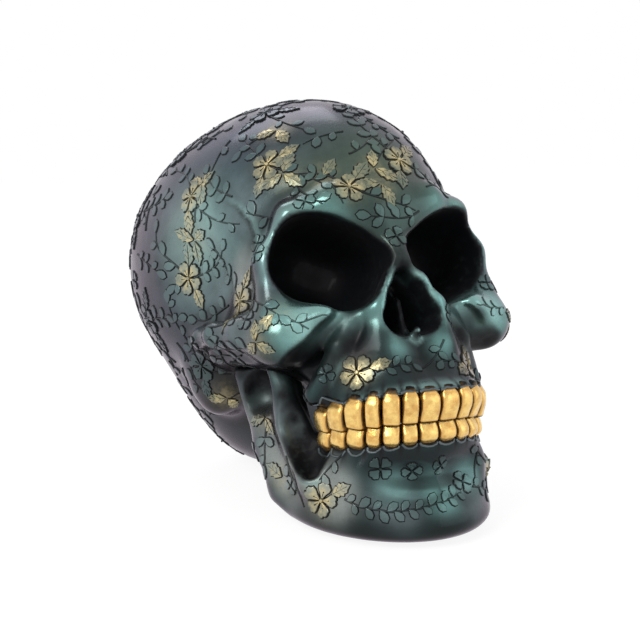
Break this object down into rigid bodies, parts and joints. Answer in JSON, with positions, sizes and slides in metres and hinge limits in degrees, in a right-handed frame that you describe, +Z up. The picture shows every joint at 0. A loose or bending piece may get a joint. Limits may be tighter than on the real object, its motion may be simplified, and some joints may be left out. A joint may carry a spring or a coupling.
{
  "type": "skull ornament",
  "caption": "Life-size cast skull ornament, tipped back to rest on its jaw and the back of the head, with pearl teal paint and gilt teeth.",
  "frame": {"origin": "on the table plane, under the middle of the outline box", "axes": "+Z up, -Y the way the face looks, +X the skull's own left"},
  "size_m": [0.1382, 0.2254, 0.172],
  "materials": {
    "painted_resin": "pearl teal paint over cast resin, satin gloss",
    "gilt_tooth": "gold paint, satin",
    "felt": "black felt"
  },
  "bodies": {
    "root": {"cranium": "painted_resin", "mandible": "painted_resin", "upper_left_central_incisor": "gilt_tooth", "upper_left_lateral_incisor": "gilt_tooth", "upper_left_canine": "gilt_tooth", "upper_left_first_premolar": "gilt_tooth", "upper_left_second_premolar": "gilt_tooth", "upper_left_first_molar": "gilt_tooth", "upper_left_second_molar": "gilt_tooth", "lower_left_central_incisor": "gilt_tooth", "lower_left_lateral_incisor": "gilt_tooth", "lower_left_canine": "gilt_tooth", "lower_left_first_premolar": "gilt_tooth", "lower_left_second_premolar": "gilt_tooth", "lower_left_first_molar": "gilt_tooth", "lower_left_second_molar": "gilt_tooth", "upper_right_central_incisor": "gilt_tooth", "upper_right_lateral_incisor": "gilt_tooth", "upper_right_canine": "gilt_tooth", "upper_right_first_premolar": "gilt_tooth", "upper_right_second_premolar": "gilt_tooth", "upper_right_first_molar": "gilt_tooth", "upper_right_second_molar": "gilt_tooth", "lower_right_central_incisor": "gilt_tooth", "lower_right_lateral_incisor": "gilt_tooth", "lower_right_canine": "gilt_tooth", "lower_right_first_premolar": "gilt_tooth", "lower_right_second_premolar": "gilt_tooth", "lower_right_first_molar": "gilt_tooth", "lower_right_second_molar": "gilt_tooth", "felt_pad_jaw_left": "felt", "felt_pad_jaw_right": "felt", "felt_pad_back": "felt"}
  },
  "joints": []
}
